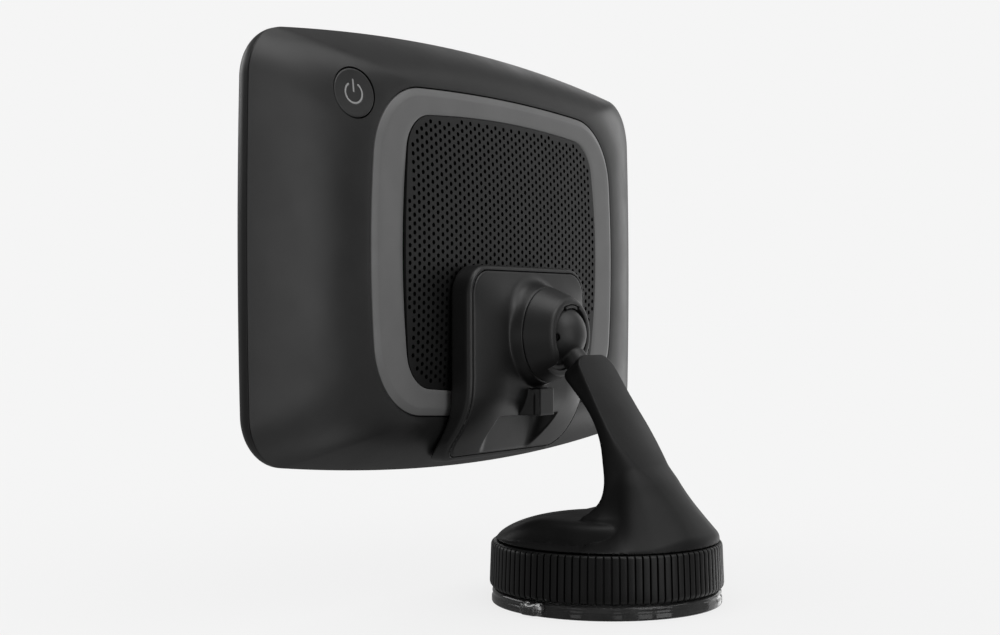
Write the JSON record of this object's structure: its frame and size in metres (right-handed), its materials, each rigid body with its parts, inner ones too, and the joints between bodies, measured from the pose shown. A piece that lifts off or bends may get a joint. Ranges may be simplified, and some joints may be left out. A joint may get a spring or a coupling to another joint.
{
  "type": "portable gps navigator",
  "caption": "Car satellite navigator with a rear speaker grille, held by a clip and ball joint on a suction windscreen mount.",
  "frame": {"origin": "centre of the suction cup's face, where it lies on the glass", "axes": "+Z away from the glass towards the navigator, +X along the navigator's width, +Y towards its back, with the screen facing -Y"},
  "size_m": [0.1698, 0.0772, 0.1424],
  "materials": {
    "cover_plastic": "fine moulded matt",
    "bezel_plastic": "satin",
    "screen_glass": "polished, black-backed",
    "display": "smooth dark",
    "inner_plastic": "moulded",
    "screw_steel": "plated",
    "trim_plastic": "satin moulded",
    "grille": "matt black",
    "speaker": "matt",
    "foam": "foam",
    "circuit_board": "solder mask",
    "battery_wrap": "foil wrap",
    "antenna_ceramic": "fired",
    "contact_brass": "gold plated",
    "plate_steel": "pressed",
    "button_plastic": "satin moulded",
    "seal_rubber": "moulded",
    "switch_plastic": "moulded",
    "clip_plastic": "fine matt",
    "clip_cover_plastic": "fine matt",
    "port_steel": "plated",
    "magnet_nickel": "nickel plated",
    "collar_plastic": "satin",
    "seat_nylon": "self-lubricating",
    "ball_plastic": "satin",
    "arm_plastic": "satin moulded",
    "ring_plastic": "matt ribbed",
    "cup_clear": "clear soft",
    "core_plastic": "moulded",
    "spring_steel": "drawn wire"
  },
  "bodies": {
    "mount_base": {"arm_base": "arm_plastic", "ball_stud": "ball_plastic", "suction_cup": "cup_clear", "core_spring": "spring_steel"},
    "lock_ring": {"lock_ring": "ring_plastic"},
    "cup_core": {"cup_core": "core_plastic", "core_pin": "screw_steel"},
    "rear_seat": {"rear_seat": "seat_nylon"},
    "front_seat": {"front_seat": "seat_nylon"},
    "clip": {"clip_housing": "clip_plastic", "clip_cover": "clip_cover_plastic", "usb_port": "port_steel", "dock_board": "circuit_board", "dock_pins": "contact_brass", "clip_magnets": "magnet_nickel", "clip_screws": "screw_steel", "socket_collar": "collar_plastic"},
    "navigator": {"back_cover": "cover_plastic", "front_bezel": "bezel_plastic", "front_glass": "screen_glass", "display_panel": "display", "mid_frame": "inner_plastic", "housing_screws": "screw_steel", "trim_ring": "trim_plastic", "speaker_grille": "grille", "speaker_driver": "speaker", "speaker_gasket": "foam", "main_board": "circuit_board", "battery": "battery_wrap", "gps_antenna": "antenna_ceramic", "contact_pads": "contact_brass", "keeper_plates": "plate_steel", "button_seal": "seal_rubber", "button_switch": "switch_plastic"},
    "power_button": {"power_button": "button_plastic"}
  },
  "joints": [
    {"name": "tilt", "type": "hinge", "parent": "mount_base", "child": "rear_seat", "pos_m": [0, -0.015, 0.0668], "axis": [1, 0, 0], "range_deg": [-25, 8]},
    {"name": "swivel", "type": "hinge", "parent": "rear_seat", "child": "front_seat", "pos_m": [0, -0.015, 0.0668], "axis": [0, 0, 1], "range_deg": [-15, 15]},
    {"name": "roll", "type": "hinge", "parent": "front_seat", "child": "clip", "pos_m": [0, -0.015, 0.0668], "axis": [0, 1, 0], "range_deg": [-10, 10]},
    {"name": "undock", "type": "slide", "parent": "clip", "child": "navigator", "axis": [0, -1, 0], "range_m": [0, 0.012]},
    {"name": "power_press", "type": "slide", "parent": "navigator", "child": "power_button", "axis": [-0.2102, -0.9685, -0.1336], "range_m": [0, 0.0005], "stiffness_N_per_m": 1500, "springref_m": -0.0003},
    {"name": "ring_turn", "type": "hinge", "parent": "mount_base", "child": "lock_ring", "pos_m": [0, 0, 0.0095], "axis": [0, 0, 1], "range_deg": [0, 60]},
    {"name": "core_lift", "type": "slide", "parent": "mount_base", "child": "cup_core", "axis": [0, 0, -1], "range_m": [0, 0.0025]}
  ],
  "couplings": [
    {"joint": "core_lift", "follows": "ring_turn", "m_per_rad": 0.0023873}
  ]
}
